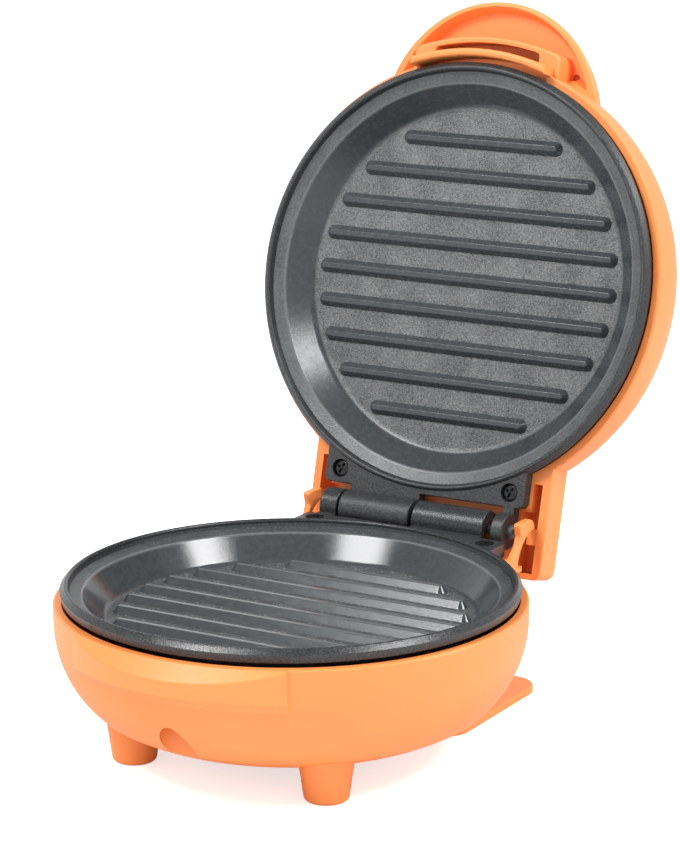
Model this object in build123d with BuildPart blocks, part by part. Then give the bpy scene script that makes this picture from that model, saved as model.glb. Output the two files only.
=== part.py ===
from build123d import *
import os
from math import atan2, cos, degrees, radians, sin, sqrt, tan

# A small clamshell griddle, standing open on its four feet.
# The base bowl and the lid dome each carry one cast plate, and a pin joins the plates' knuckles.
# Millimetres, +Z up, front towards -Y. The origin is on the table, under the middle of the open griddle.
#
# Each half is described in its own plane: local X across, local Y from the plate's centre towards
# the front edge, and local Z outwards from the mating face, so a larger Z is a larger depth.
# Both halves use the same screws, heating element, dished moulding and casting, whose short
# knuckle is shorter on the lid.

# Overall layout
mating_height = 46.1          # table to the top of the base plate's bead
hinge_out = 5.6               # shell's outside to the hinge axis
hinge_lift = 0.16             # hinge axis above each plate's bead
open_angle = 104.7            # lid swing from closed to the open stop

# Moulded shells
shell_r = 63.1                # outer radius of bowl and dome
wall = 2.2
rim_depth = 4.7               # bead top down to the moulded rim
rim_round = 0.6
side_height = 5.0             # upright part of the side
side_arc_r = 30.9
side_turn = 48.1
corner_arc_r = 4.0
corner_turn = 11.7
belly_arc_r = 47.7

# Cast plate: each line is set in from the one outside it
skirt_in = 1.8                # shell's outside to the skirt's widest line
skirt_depth = 1.5
skirt_draft = 0.4
skirt_foot_depth = 3.6
skirt_width = 3.0
bead_edge_in = 1.0            # skirt's widest line to the bead's outer edge
bead_edge_depth = 0.4
bead_in = 1.6                 # skirt's widest line to the bead's crest
bead_fall_in = 0.6
bead_inner_depth = 1.1
groove_in = 0.25
groove_depth = 2.1
ledge_in = 0.2
ledge_outer_depth = 2.0
ledge_width = 3.25
ledge_inner_depth = 3.0
slope_run = 5.8
floor_depth = 10.35
floor_corner = 3.0
ledge_corner = 0.7
plate_wall = 2.6
wall_start = 1.5              # where the wall's underside leaves the ledge, down the slope
ridge_count = 9
ridge_pitch = 9.84
ridge_margin = 3.8            # from the floor's edge to the ends of the ridges
ridge_width = 4.2
ridge_height = 1.9
ridge_lean = 36.0
ridge_round = 0.5

# Hinge
knuckle_r = 5.1
knuckle_gap = 1.2             # between the two long knuckles, on the centre line
knuckle_length = 22.6
ear_gap = 0.7                 # between a long knuckle and its neighbour's short one
ear_length = 5.5
lid_ear_length = 3.6
pin_r = 1.4
pin_clearance = 0.05
pin_overhang = 1.9
pin_round = 0.85
pin_head_r = 2.05
pin_head = 1.9
pin_head_round = 1.3
ring_r = 3.0
ring_thickness = 0.8
ring_gap = 0.1
flange_half = 32.0
flange_edge = 6.6             # hinge axis to the flange's rear edge
flange_depth = 0.7
flange_thickness = 3.9
flange_corner = 1.8
flange_margin = 0.25          # bead's crest to the flange's inner edge
flange_round = 0.4
knuckle_round = 0.4

# Plate screws, in pockets of the flange
plate_screw_x = 27.3
plate_screw_back = 10.8       # hinge axis to the screw axis
screw_shank_r = 1.5
screw_clearance = 0.06
head_r = 2.3
head_height = 1.5
head_sunk = 0.9
pocket_clearance = 0.35
cross_width = 0.75
cross_length = 3.2
cross_depth = 0.9
head_round = 0.6
plate_screw_length = 5.8
boss_r = 4.0
seat_gap = 0.1                # seats of pieces in one body
weld = 0.5                    # how far a feature starts inside what carries it
cut_run = 1.0                 # how far a cutter runs past a face

# Front screw, driven up from a round access well
well_out = 5.3                # dish floor's edge to the well's axis
well_r = 4.9
well_wall = 2.0
well_ceiling_depth = 20.7
front_boss_r = 3.4
front_boss_top = 9.5
front_screw_length = 10.0

# Casting underside
post_r = 3.5
post_hole_depth = 6.0
pad_half = 4.5                # half the width of the element's seat
pad_height = 2.4
pad_cut = 32.0                # the seat stops short of the tube's ends

# Heating element
element_in = 16.6             # dish floor's edge to the tube's centre line
element_r = 3.0
element_sweep = 270.0
element_leg = 6.0
bead_length = 3.0
bead_flange_r = 3.3
terminal_r = 0.9
terminal_length = 7.0
element_sink = 0.4            # gap between the tube and the plate's underside

# Element clips and heat shield
clip_post_in = 8.1            # dish floor's edge to the clip posts
clip_angles = (90.0, 210.0, 330.0)
clip_tip = 3.0                # past the tube's centre line, inwards
clip_heel = 3.5               # past the post, outwards
clip_width = 8.0
clip_corner = 1.5
clip_thickness = 1.0
shield_post_angles = (30.0, 150.0, 270.0)
shield_post_in = 5.3          # shield's edge to its posts
shield_gap = 3.05             # clips' underside to the shield
shield_in = 2.3               # dish floor's edge to the shield's
shield_thickness = 0.6
shield_rim = 4.0
shield_bore_r = 13.0
shield_window = (8.0, 10.0)
shield_window_x = 9.5
shield_window_out = 2.5       # past the tube's centre line, towards the hinge
small_screw_r = 1.4
small_head_r = 2.8
small_head_height = 1.6
small_screw_length = 5.0

# Thermostat and thermal fuse
thermostat_cap_r = 8.4
thermostat_cap_height = 2.0
thermostat_body_r = 7.3
thermostat_body_height = 6.5
blade_width = 5.0
blade_thickness = 0.8
blade_length = 5.0
blade_spacing = 8.0
bracket_post_y = 12.0
bracket_length = 31.0
bracket_width = 9.0
bracket_thickness = 0.8
bracket_band = 2.0
fuse_x = -18.6
fuse_r = 2.6
fuse_length = 22.0
fuse_post_x = -12.0
fuse_post_r = 2.5
fuse_clip_width = 7.0
fuse_clip_thickness = 0.8

# Terminal block on the bowl's floor
block_size = (26.0, 14.0, 10.0)
block_in = 43.1               # shell's outside to the block's centre
block_seat = 2.0
block_way_spacing = 7.0
block_way_r = 1.7
block_way_depth = 5.0
block_screw_y = 4.0
block_way_screws = (-9.0, 9.0)

# Cord inlet at the back of the bowl
inlet_depth = 20.0
inlet_hole_r = 4.6
inlet_bore_r = 3.1
inlet_boss_r = 8.4
inlet_flange_r = 6.6
inlet_flange = 1.6
inlet_out = 0.2               # shell's outside to the boss's flat end
inlet_wall = 2.7
inlet_lip = 0.05
inlet_seat_step = 0.8

# Feet, rear rests and front lip of the base
foot_x = 29.5
foot_y = 31.6
foot_top_depth = 34.0
foot_top_r = 7.5
foot_bottom_r = 5.8
foot_round = 1.3
foot_core_r = 4.4
foot_core_taper = 8.0
foot_core_floor = 3.0
rest_out = 5.2                # shell's outside to the rear rest's end-circle centre
rest_r = 7.25
rest_thickness = 2.2
rest_round = 0.7
lip_out = 3.6
lip_half = 32.0
lip_proud_end = 0.8
lip_top_fall = 1.28           # fall of the lip's top face for each millimetre outwards
lip_cove_r = 5.3              # hollow under the lip's edge
lip_cove_turn = 80.0
lip_round = 0.9
lip_edge_top = 9.0
lip_edge_bottom = 13.2
lip_root = 1.5

# Neck and cheeks of the base, beside the hinge
cheek_inner = 32.9
cheek_thickness = 2.2
neck_floor = 1.5
neck_end_back = 3.4           # hinge axis to the end of the neck's floor
cheek_arc_r = 10.2
cheek_arc_ahead = 5.7
cheek_arc_above = 0.7
cheek_root = 18.2             # hinge axis to the cheeks' and neck's start, inside the bowl's wall
cheek_top = 4.1               # heights above the bead, and places ahead of the hinge axis
cheek_top_round = 3.75
cheek_nose = 4.8
cheek_nose_round = 0.8
cheek_waist = 3.7
cheek_waist_up = 0.3
cheek_waist_round = 1.5
cheek_shin = 4.9
cheek_shin_down = 2.4
cheek_shin_round = 2.0
cheek_foot = 8.4
cheek_round = 0.5

# Hood of the lid, round the hinge
hood_inner = 35.5
hood_outer = 38.2
hood_back = 15.7
hood_back_wall = 2.5
hood_drop = 12.8              # hinge axis down to the hood's edge
hood_edge_wall = 1.7
hood_shoulder = 22.0
hood_fillet = 2.6
hood_corner = 3.0
hood_front_round = 0.5
cavity_top = 6.0              # hinge axis up to the top of the open cavity beside each ear
channel_inner = 32.5
channel_top = 14.0
stop_low = 3.0                # stop rib in each channel, below and above the hinge axis
stop_high = 1.5
stop_set_back = 0.2           # hood's front face to the rib's
pocket_top = 6.9
pocket_floor = 6.2
web_thickness = 2.0
duct_half = 22.0
duct_window = 5.0             # width of each lead's window in the web
duct_low = 9.3
duct_high = 2.2

# Handle of the lid
handle_in = 17.5              # shell's outside to the centre of the handle's outline
handle_r = 34.8
handle_front = 11.6
handle_back = 19.0
handle_taper = 18.0
handle_front_round = 0.9
handle_back_round = 1.8
recess_shift = 1.9
recess_r = 31.3
recess_depth = 4.0
recess_taper = 20.0
recess_eye_x = 24.2
recess_eye_out = 1.69         # shell's outside to the eyes' centres
recess_eye_r = 1.3
recess_eye_depth = 1.5        # below the recess's floor
recess_start = 0.9            # lower bar's inner edge to the recess
bar_in = 0.1                  # shell's outside to the lower bar's inner edge
bar_width = 2.15
bar_round = 0.9
bar_span = 19.95              # half the angle that the bar covers
bar_back = 7.5
slot_width = 2.45
slot_span = 14.85
slot_corner = 1.3
frame_width = 1.6
frame_round = 0.7
frame_span = 21.6
frame_corner = 3.0
frame_front = 5.9
vent_back = 12.6

# Indicator lamp on the lid
lamp_y = 20.0
lens_r = 3.4
lens_flange_r = 5.0
lens_flange = 1.2
lens_proud = 0.7
holder_r = 5.5
holder_wall = 1.2
holder_length = 10.0
holder_socket_wall = 1.5
holder_socket_height = 7.0
neon_r = 2.8
neon_length = 7.5
neon_round = 1.9

# Leads between the halves, and wires
lead_r = 1.1
lead_x = 11.0
lead_depth = 6.55
lead_duct = 10.7              # depth of the leads inside the hood
wire_r = 0.95
lamp_wire_r = 0.6
bend_share = 0.45             # share of the shorter run that a bend takes up
port_depth = 31.5             # depth of the wires' ends at the terminal block
port_gap = 0.05
lead_port_x = 3.5
lead_bench_in = 27.1          # shell's outside to the leads' bends
lead_knee_in = 17.1
lead_knee_depth = 30.0
lead_climb_in = 7.8
lead_climb_depth = 21.0
lead_top_in = 6.2
lead_top_depth = 11.0
lead_exit_in = 4.7
duct_bend_up = 6.0            # heights above the hinge axis, along the lid
dome_entry_up = 14.0
dome_entry_depth = 13.6
lead_approach = 5.0
wire_port_x = 7.5
wire_drop = 3.0
wire_side_x = 8.5             # corners of the control wires, beside the thermostat
wire_side_y = 7.5
wire_skew = 0.3
wire_turn_x = 13.6
wire_turn_y = 16.5
wire_step = 1.5
wire_last_y = 3.5
lamp_wire_x = 2.0             # corners of the lamp's wires
lamp_wire_drop = 1.8
lamp_wire_turn = (2.5, 8.0)
lamp_wire_bore = (4.0, 3.0)
lamp_wire_side = (14.0, -24.0)
lamp_wire_dip = 3.0
lamp_wire_lift = 2.2
lamp_wire_pin = (2.5, 2.4)


def direction(half, across, forward, outward):
    """A global vector from its components in a half's own plane."""
    return half.x_dir * across + half.y_dir * forward + half.z_dir * outward


def at(half, x, y, depth):
    """The global point at local x, y and depth of a half."""
    return half.origin + direction(half, x, y, depth)


def level(half, depth):
    """Plane across a half at a depth, facing outwards."""
    return half.offset(depth)


def rising(half, depth):
    """Plane across a half at a depth, facing the mating face."""
    return Plane(at(half, 0, 0, depth), x_dir=half.x_dir, z_dir=-half.z_dir)


def section(half):
    """Plane for turned profiles: first coordinate radius, second coordinate depth."""
    return Plane(half.origin, x_dir=half.x_dir, z_dir=-half.y_dir)


def side(half, x):
    """Plane along a half at local x: first coordinate local y, second coordinate depth."""
    return Plane(at(half, x, 0, 0), x_dir=half.y_dir, z_dir=half.x_dir)


def turn_axis(half, x=0, y=0):
    """Axis through a half, square to its mating face."""
    return Axis(at(half, x, y, 0), half.z_dir)


def polar(radius, angle):
    """Point on a circle about the centre of a half."""
    return radius * cos(radians(angle)), radius * sin(radians(angle))


def save(piece, node):
    """Label a finished piece and write it as a STEP file."""
    piece.part.label = node
    export_step(piece.part, f"parts/{node}.step")


# Values that follow from the driving dimensions
hinge_reach = shell_r + hinge_out
skirt_r = shell_r - skirt_in
skirt_foot_r = skirt_r - skirt_draft
skirt_inner_r = skirt_r - skirt_width
bead_edge_r = skirt_r - bead_edge_in
bead_r = skirt_r - bead_in
bead_inner_r = bead_r - bead_fall_in
groove_r = bead_inner_r - groove_in
ledge_outer_r = groove_r - ledge_in
ledge_inner_r = ledge_outer_r - ledge_width
floor_r = ledge_inner_r - slope_run
ridge_reach = floor_r - ridge_margin
flange_inner_r = bead_r + flange_margin
well_y = floor_r + well_out
element_ring_r = floor_r - element_in
pad_inner_r = element_ring_r - pad_half
pad_outer_r = element_ring_r + pad_half
clip_post_ring_r = floor_r - clip_post_in
clip_inner_r = element_ring_r - clip_tip
clip_outer_r = clip_post_ring_r + clip_heel
shield_r = floor_r - shield_in
shield_post_ring_r = shield_r - shield_post_in
shield_window_y = -element_ring_r - shield_window_out
block_y = block_in - shell_r
inlet_outer_y = -shell_r - inlet_out
lip_reach = shell_r + lip_out
cheek_root_y = cheek_root - hinge_reach
rest_end = shell_r + rest_out
handle_centre = shell_r - handle_in
recess_centre = handle_centre + recess_shift
bar_inner_r = shell_r - bar_in
bar_outer_r = bar_inner_r + bar_width
slot_outer_r = bar_outer_r + slot_width
frame_outer_r = slot_outer_r + frame_width
recess_inner_r = bar_inner_r + recess_start
recess_eye_y = sqrt((shell_r + recess_eye_out) ** 2 - recess_eye_x**2)
bar_half = bar_inner_r * sin(radians(bar_span))
slot_half = bar_outer_r * sin(radians(slot_span))
frame_half = bar_inner_r * sin(radians(frame_span))
belly_start = side_turn + corner_turn
side_in = side_arc_r * (1 - cos(radians(side_turn)))
corner_in = corner_arc_r * (cos(radians(side_turn)) - cos(radians(belly_start)))
belly_in = belly_arc_r * cos(radians(belly_start))
flat_r = shell_r - side_in - corner_in - belly_in
side_down = side_arc_r * sin(radians(side_turn))
corner_down = corner_arc_r * (sin(radians(belly_start)) - sin(radians(side_turn)))
belly_down = belly_arc_r * (1 - sin(radians(belly_start)))
shell_depth = rim_depth + side_height + side_down + corner_down + belly_down
shell_floor = shell_depth - wall
underside = floor_depth + plate_wall
open_cos = cos(radians(open_angle))
open_sin = sin(radians(open_angle))
rear_reach = (hinge_reach - open_cos * (hinge_reach + flat_r)
              + open_sin * (shell_depth - belly_arc_r + hinge_lift) + belly_arc_r)
plate_y = (lip_reach - rear_reach) / 2
hinge_y = plate_y + hinge_reach
hinge_z = mating_height + hinge_lift
ear_inner = knuckle_gap / 2 + knuckle_length + ear_gap
ear_outer = ear_inner + ear_length
element_depth = underside + element_sink + element_r
clip_depth = element_depth + element_r
shield_depth = clip_depth + shield_gap
thermostat_top = underside + thermostat_cap_height
neck_under = cheek_arc_r - cheek_arc_above
neck_top = neck_under - neck_floor
hood_end = -hinge_reach - hood_drop

base_half = Plane((0, plate_y, mating_height), x_dir=(1, 0, 0), z_dir=(0, 0, -1))
lid_up = Vector(0, -open_cos, open_sin)
lid_out = Vector(0, open_sin, open_cos)
lid_centre = Vector(0, hinge_y, hinge_z) + lid_up * hinge_reach + lid_out * hinge_lift
lid_half = Plane(lid_centre, x_dir=(-1, 0, 0), z_dir=lid_out)

os.makedirs("parts", exist_ok=True)


# Cast plate
def plate_dish(half):
    """Turned dish with its bead, ledge and sloping wall."""
    lean = Vector(ledge_inner_r - floor_r, ledge_inner_depth - floor_depth).normalized()
    under = Vector(lean.Y, -lean.X) * -plate_wall
    wall_top = Vector(ledge_inner_r, ledge_inner_depth) + under - lean * wall_start
    wall_foot_r = wall_top.X + (underside - wall_top.Y) * lean.X / lean.Y
    with BuildSketch(section(half)) as outline:
        with BuildLine():
            FilletPolyline(
                (0, floor_depth),
                (floor_r, floor_depth),
                (ledge_inner_r, ledge_inner_depth),
                (ledge_outer_r, ledge_outer_depth),
                radius=[floor_corner, ledge_corner],
            )
            Polyline(
                (ledge_outer_r, ledge_outer_depth),
                (groove_r, groove_depth),
                (bead_inner_r, bead_inner_depth),
            )
            ThreePointArc((bead_inner_r, bead_inner_depth), (bead_r, 0), (bead_edge_r, bead_edge_depth))
            Polyline(
                (bead_edge_r, bead_edge_depth),
                (skirt_r, skirt_depth),
                (skirt_foot_r, skirt_foot_depth),
                (skirt_inner_r, skirt_foot_depth),
                (wall_top.X, wall_top.Y),
                (wall_foot_r, underside),
                (0, underside),
                (0, floor_depth),
            )
        make_face()
    revolve(outline.sketch, axis=turn_axis(half))


def plate_ridges(half):
    """Parallel ribs across the dish, with leaning sides, rounded ends and rounded tops."""
    with BuildPart() as ridges:
        for index in range(ridge_count):
            y = (index - (ridge_count - 1) / 2) * ridge_pitch
            with BuildSketch(rising(half, floor_depth)) as outline:
                with Locations((0, y)):
                    SlotCenterToCenter(2 * sqrt(ridge_reach**2 - y**2), ridge_width)
            extrude(outline.sketch, amount=ridge_height, taper=ridge_lean)
        tops = ridges.faces().filter_by(Plane(half.origin, z_dir=half.z_dir)).group_by(Axis(half.origin,
                                                                                            half.z_dir))[0]
        fillet(tops.edges(), ridge_round)
    return ridges


def plate_flange(half):
    """Flat ear behind the dish that carries the knuckles and the screws."""
    edge_y = flange_edge - hinge_reach
    with BuildPart() as flange:
        with BuildSketch(level(half, flange_depth)) as outline:
            with BuildLine():
                FilletPolyline(
                    (-flange_half, 0),
                    (-flange_half, edge_y),
                    (flange_half, edge_y),
                    (flange_half, 0),
                    radius=flange_corner,
                )
                Line((flange_half, 0), (-flange_half, 0))
            make_face()
        extrude(outline.sketch, amount=flange_thickness)
        fillet(flange.faces().sort_by(Axis(half.origin, half.z_dir))[0].edges(), flange_round)
        with BuildSketch(level(half, flange_depth)) as dish:
            Circle(flange_inner_r)
        extrude(dish.sketch, amount=flange_thickness, mode=Mode.SUBTRACT)
    return flange


def plate_knuckles(half, ear):
    """Long and short knuckle, each with the web that joins it to the flange."""
    with BuildPart() as knuckles:
        for start, length in ((knuckle_gap / 2, knuckle_length), (-ear_outer, ear)):
            with BuildSketch(side(half, start)) as outline:
                with Locations((-hinge_reach, -hinge_lift)):
                    Circle(knuckle_r)
                with Locations((-hinge_reach, flange_depth)):
                    Rectangle(flange_edge + weld, flange_thickness, align=(Align.MIN, Align.MIN))
            extrude(outline.sketch, amount=length)
        fillet(knuckles.faces().filter_by(Axis.X).edges(), knuckle_round)
    return knuckles


def plate_pin_hole(half):
    """Hole for the hinge pin through the knuckles."""
    with BuildSketch(side(half, -flange_half)) as outline:
        with Locations((-hinge_reach, -hinge_lift)):
            Circle(pin_r + pin_clearance)
    extrude(outline.sketch, amount=2 * flange_half, mode=Mode.SUBTRACT)


def plate_posts(half):
    """Posts and the element's seat on the dish's underside."""
    posts = [(polar(clip_post_ring_r, a), clip_depth + seat_gap) for a in clip_angles]
    posts += [(polar(shield_post_ring_r, a), shield_depth - seat_gap / 2) for a in shield_post_angles]
    posts += [((0, s * bracket_post_y), thermostat_top) for s in (-1, 1)]
    for place, end in posts:
        with BuildSketch(level(half, underside - weld)) as outline:
            with Locations(place):
                Circle(post_r)
        extrude(outline.sketch, amount=end - underside + weld)
    with BuildSketch(level(half, underside - weld)) as outline:
        with Locations((fuse_post_x, 0)):
            Circle(fuse_post_r)
    extrude(outline.sketch, amount=2 * fuse_r + weld + seat_gap)
    with BuildSketch(level(half, underside - weld)) as outline:
        Circle(pad_outer_r)
        Circle(pad_inner_r, mode=Mode.SUBTRACT)
        with Locations((0, -pad_outer_r)):
            Rectangle(2 * pad_outer_r, pad_cut, mode=Mode.SUBTRACT)
    extrude(outline.sketch, amount=pad_height + weld)
    with BuildSketch(section(half)) as outline:
        with Locations((element_ring_r, element_depth)):
            Circle(element_r + pin_clearance)
    revolve(outline.sketch, axis=turn_axis(half), mode=Mode.SUBTRACT)
    with BuildSketch(level(half, front_boss_top)) as outline:
        with Locations((0, well_y)):
            Circle(front_boss_r)
    extrude(outline.sketch, amount=well_ceiling_depth - well_wall - seat_gap - front_boss_top)
    for place, end in posts:
        with BuildSketch(rising(half, end)) as outline:
            with Locations((place[0], -place[1])):
                Circle(small_screw_r + screw_clearance)
        extrude(outline.sketch, amount=min(post_hole_depth, end - underside + weld), mode=Mode.SUBTRACT)
    with BuildSketch(rising(half, underside + 2 * fuse_r + seat_gap)) as outline:
        with Locations((fuse_post_x, 0)):
            Circle(small_screw_r + screw_clearance)
    extrude(outline.sketch, amount=small_screw_length, mode=Mode.SUBTRACT)
    with BuildSketch(rising(half, well_ceiling_depth)) as outline:
        with Locations((0, -well_y)):
            Circle(screw_shank_r + screw_clearance)
    extrude(outline.sketch, amount=front_screw_length + weld, mode=Mode.SUBTRACT)


def plate_screw_places():
    """Local x, y of the two screws in the flange."""
    return [(s * plate_screw_x, plate_screw_back - hinge_reach) for s in (-1, 1)]


def plate_screw_pockets(half):
    """Round pockets and clearance holes for the flange screws."""
    with BuildSketch(level(half, flange_depth)) as outline:
        with Locations(*plate_screw_places()):
            Circle(head_r + pocket_clearance)
    extrude(outline.sketch, amount=head_sunk + head_height, mode=Mode.SUBTRACT)
    with BuildSketch(level(half, flange_depth)) as outline:
        with Locations(*plate_screw_places()):
            Circle(screw_shank_r + screw_clearance)
    extrude(outline.sketch, amount=flange_thickness + cut_run, mode=Mode.SUBTRACT)


def casting(half, ear):
    """One cast plate of a half, whose short knuckle has that length."""
    with BuildPart() as plate:
        plate_dish(half)
        add(plate_ridges(half).part)
        add(plate_flange(half).part)
        add(plate_knuckles(half, ear).part)
        plate_pin_hole(half)
        plate_posts(half)
        plate_screw_pockets(half)
    return plate


base_plate = casting(base_half, ear_length)
save(base_plate, "base_plate")
lid_plate = casting(lid_half, lid_ear_length)
save(lid_plate, "lid_plate")


# Moulded shells
def bowl(half, inset, top, rim):
    """Turned solid of the moulding's outside, drawn in by inset, from depth top down."""
    radius = shell_r - inset
    with BuildSketch(section(half)) as outline:
        with BuildLine():
            Line((0, top), (radius - rim, top))
            if rim:
                JernArc((radius - rim, top), (1, 0), rim, 90)
            Line((radius, top + rim), (radius, rim_depth + side_height))
            arc = JernArc((radius, rim_depth + side_height), (0, 1), side_arc_r - inset, side_turn)
            arc = JernArc(arc @ 1, arc % 1, corner_arc_r - inset, corner_turn)
            arc = JernArc(arc @ 1, arc % 1, belly_arc_r - inset, 90 - belly_start)
            Polyline(arc @ 1, (0, shell_depth - inset), (0, top))
        make_face()
    revolve(outline.sketch, axis=turn_axis(half))


def disc(half, places, radius, start, end, mode=Mode.ADD):
    """Round pegs or holes at local places, from one depth to another."""
    with BuildSketch(level(half, start)) as outline:
        with Locations(*places):
            Circle(radius)
    extrude(outline.sketch, amount=end - start, mode=mode)


def block(half, x_range, y_range, start, end, mode=Mode.ADD):
    """A box between local x, y and depth limits."""
    with BuildSketch(level(half, start)) as outline:
        with Locations(((x_range[0] + x_range[1]) / 2, (y_range[0] + y_range[1]) / 2)):
            Rectangle(x_range[1] - x_range[0], y_range[1] - y_range[0])
    extrude(outline.sketch, amount=end - start, mode=mode)


def ring_sector(half, inner, outer, reach, start, end, mode=Mode.ADD):
    """The front part of a ring about the plate's centre, as wide as reach on each side."""
    with BuildSketch(level(half, start)) as outline:
        Circle(outer)
        Circle(inner, mode=Mode.SUBTRACT)
        with Locations((0, outer / 2)):
            Rectangle(2 * reach, outer, mode=Mode.INTERSECT)
    extrude(outline.sketch, amount=end - start, mode=mode)


def shell_fasteners(half, boss_end):
    """Screw bosses under the flange, and the front well with its screw hole."""
    disc(half, plate_screw_places(), boss_r, rim_depth, boss_end)
    disc(half, plate_screw_places(), screw_shank_r + screw_clearance, rim_depth - cut_run,
         flange_depth + head_sunk + head_height + plate_screw_length + seat_gap, Mode.SUBTRACT)
    disc(half, [(0, well_y)], well_r, well_ceiling_depth, shell_depth + cut_run, Mode.SUBTRACT)
    disc(half, [(0, well_y)], screw_shank_r + screw_clearance, rim_depth, well_ceiling_depth + cut_run,
         Mode.SUBTRACT)


# Lip: a crescent under the front rim, gripped when the lid is lifted
with BuildPart() as lip:
    lip_end_y = sqrt((shell_r + lip_proud_end) ** 2 - lip_half**2)
    with BuildSketch(level(base_half, rim_depth)) as lip_plan:
        with BuildLine():
            ThreePointArc((-lip_half, lip_end_y), (0, lip_reach), (lip_half, lip_end_y))
            Polyline((lip_half, lip_end_y), (lip_half, lip_end_y / 2), (-lip_half, lip_end_y / 2),
                     (-lip_half, lip_end_y))
        make_face()
    extrude(lip_plan.sketch, amount=2 * lip_edge_bottom)
    with BuildSketch(section(base_half)) as lip_section:
        lip_top = Vector(-1, -lip_top_fall) * (lip_reach - shell_r + lip_root)
        with BuildLine():
            cove = JernArc((lip_reach + weld, lip_edge_bottom), (-1, 0), lip_cove_r, -lip_cove_turn)
            Polyline(
                cove @ 1,
                (lip_reach + lip_top.X, (cove @ 1).Y),
                (lip_reach + lip_top.X, lip_edge_top + lip_top.Y),
                (lip_reach + weld, lip_edge_top + lip_top_fall * weld),
                (lip_reach + weld, lip_edge_bottom),
            )
        make_face()
    revolve(lip_section.sketch, axis=turn_axis(base_half), mode=Mode.INTERSECT)
    fillet(lip.edges().filter_by(lambda e: e.length > lip_half).sort_by(Axis.Y)[:2], lip_round)

# Core: the space inside the base bowl
with BuildPart() as base_core:
    bowl(base_half, wall, rim_depth - cut_run, 0)
    disc(base_half, [(0, well_y)], well_r + well_wall, well_ceiling_depth - well_wall, shell_depth,
         Mode.SUBTRACT)
    disc(base_half, [(x, block_y) for x in block_way_screws], post_r, shell_floor - block_seat, shell_depth,
         Mode.SUBTRACT)
    inlet_plane = Plane(at(base_half, 0, inlet_outer_y, inlet_depth), x_dir=base_half.x_dir,
                        z_dir=base_half.y_dir)
    with BuildSketch(inlet_plane) as inlet_outline:
        Circle(inlet_boss_r)
    extrude(inlet_outline.sketch, amount=inlet_wall, mode=Mode.SUBTRACT)

# Cheeks: the two ears of the base that stand beside the hinge
with BuildPart() as cheeks:
    cheek_back = -hinge_reach - cheek_arc_r + cheek_arc_ahead
    for cheek_x in (cheek_inner, -cheek_inner - cheek_thickness):
        with BuildSketch(side(base_half, cheek_x)) as cheek_outline:
            with BuildLine():
                Line((cheek_root_y, neck_under), (-hinge_reach + cheek_arc_ahead, neck_under))
                RadiusArc((-hinge_reach + cheek_arc_ahead, neck_under), (cheek_back, -cheek_arc_above),
                          cheek_arc_r)
                FilletPolyline(
                    (cheek_back, -cheek_arc_above),
                    (cheek_back, -cheek_top),
                    (cheek_nose - hinge_reach, -cheek_top),
                    (cheek_waist - hinge_reach, -cheek_waist_up),
                    (cheek_shin - hinge_reach, cheek_shin_down),
                    (cheek_foot - hinge_reach, rim_depth),
                    radius=[cheek_top_round - cheek_arc_above, cheek_nose_round, cheek_waist_round,
                            cheek_shin_round],
                )
                Polyline((cheek_foot - hinge_reach, rim_depth), (cheek_root_y, rim_depth),
                         (cheek_root_y, neck_under))
            make_face()
        extrude(cheek_outline.sketch, amount=cheek_thickness)
    fillet(cheeks.faces().filter_by(Axis.X).edges(), cheek_round)

# Rear rests: flat tongues on the table behind the rear feet
with BuildPart() as rests:
    with BuildSketch(level(base_half, mating_height - rest_thickness)) as rest_outline:
        with Locations((-foot_x, -(foot_y + rest_end) / 2), (foot_x, -(foot_y + rest_end) / 2)):
            SlotCenterToCenter(rest_end - foot_y, 2 * rest_r, rotation=90)
    extrude(rest_outline.sketch, amount=rest_thickness)
    fillet(rests.edges().group_by(Axis.Z)[-1], rest_round)

# Base shell: bowl, feet, rear rests, front lip, neck and cheeks in one moulding
with BuildPart() as base_shell:
    bowl(base_half, 0, rim_depth, rim_round)
    add(lip.part)
    with BuildSketch(level(base_half, foot_top_depth)) as foot_outline:
        with GridLocations(2 * foot_x, 2 * foot_y, 2, 2):
            Circle(foot_top_r)
    foot_drop = mating_height - foot_top_depth
    extrude(foot_outline.sketch, amount=foot_drop,
            taper=degrees(atan2(foot_top_r - foot_bottom_r, foot_drop)))
    fillet(base_shell.edges().group_by(Axis.Z)[0], foot_round)
    add(rests.part)
    add(cheeks.part)
    block(base_half, (-cheek_inner - cheek_thickness, cheek_inner + cheek_thickness),
          (neck_end_back - hinge_reach, cheek_root_y), neck_top, neck_under)
    with BuildSketch(inlet_plane) as inlet_boss:
        Circle(inlet_boss_r)
    extrude(inlet_boss.sketch, amount=inlet_boss_r)
    add(base_core.part, mode=Mode.SUBTRACT)
    with BuildSketch(level(base_half, shell_floor - block_seat)) as foot_core:
        with GridLocations(2 * foot_x, 2 * foot_y, 2, 2):
            Circle(foot_core_r)
    extrude(foot_core.sketch, amount=mating_height - foot_core_floor - shell_floor + block_seat,
            taper=foot_core_taper, mode=Mode.SUBTRACT)
    shell_fasteners(base_half, neck_under)
    for lead_side in (-lead_x, lead_x):
        block(base_half, (lead_side - duct_window / 2, lead_side + duct_window / 2),
              (neck_end_back - hinge_reach,
               flange_edge * 2 - hinge_reach), rim_depth - cut_run, neck_top, Mode.SUBTRACT)
    with BuildSketch(inlet_plane) as inlet_hole:
        Circle(inlet_hole_r)
    extrude(inlet_hole.sketch, amount=inlet_boss_r, mode=Mode.SUBTRACT)
    with BuildSketch(inlet_plane.offset(inlet_wall)) as inlet_seat:
        Circle(inlet_boss_r - inlet_seat_step)
    extrude(inlet_seat.sketch, amount=inlet_boss_r, mode=Mode.SUBTRACT)
    disc(base_half, [(x, block_y) for x in block_way_screws], small_screw_r + screw_clearance,
         shell_floor - block_seat, shell_depth - block_seat / 2, Mode.SUBTRACT)
save(base_shell, "base_shell")

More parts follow.
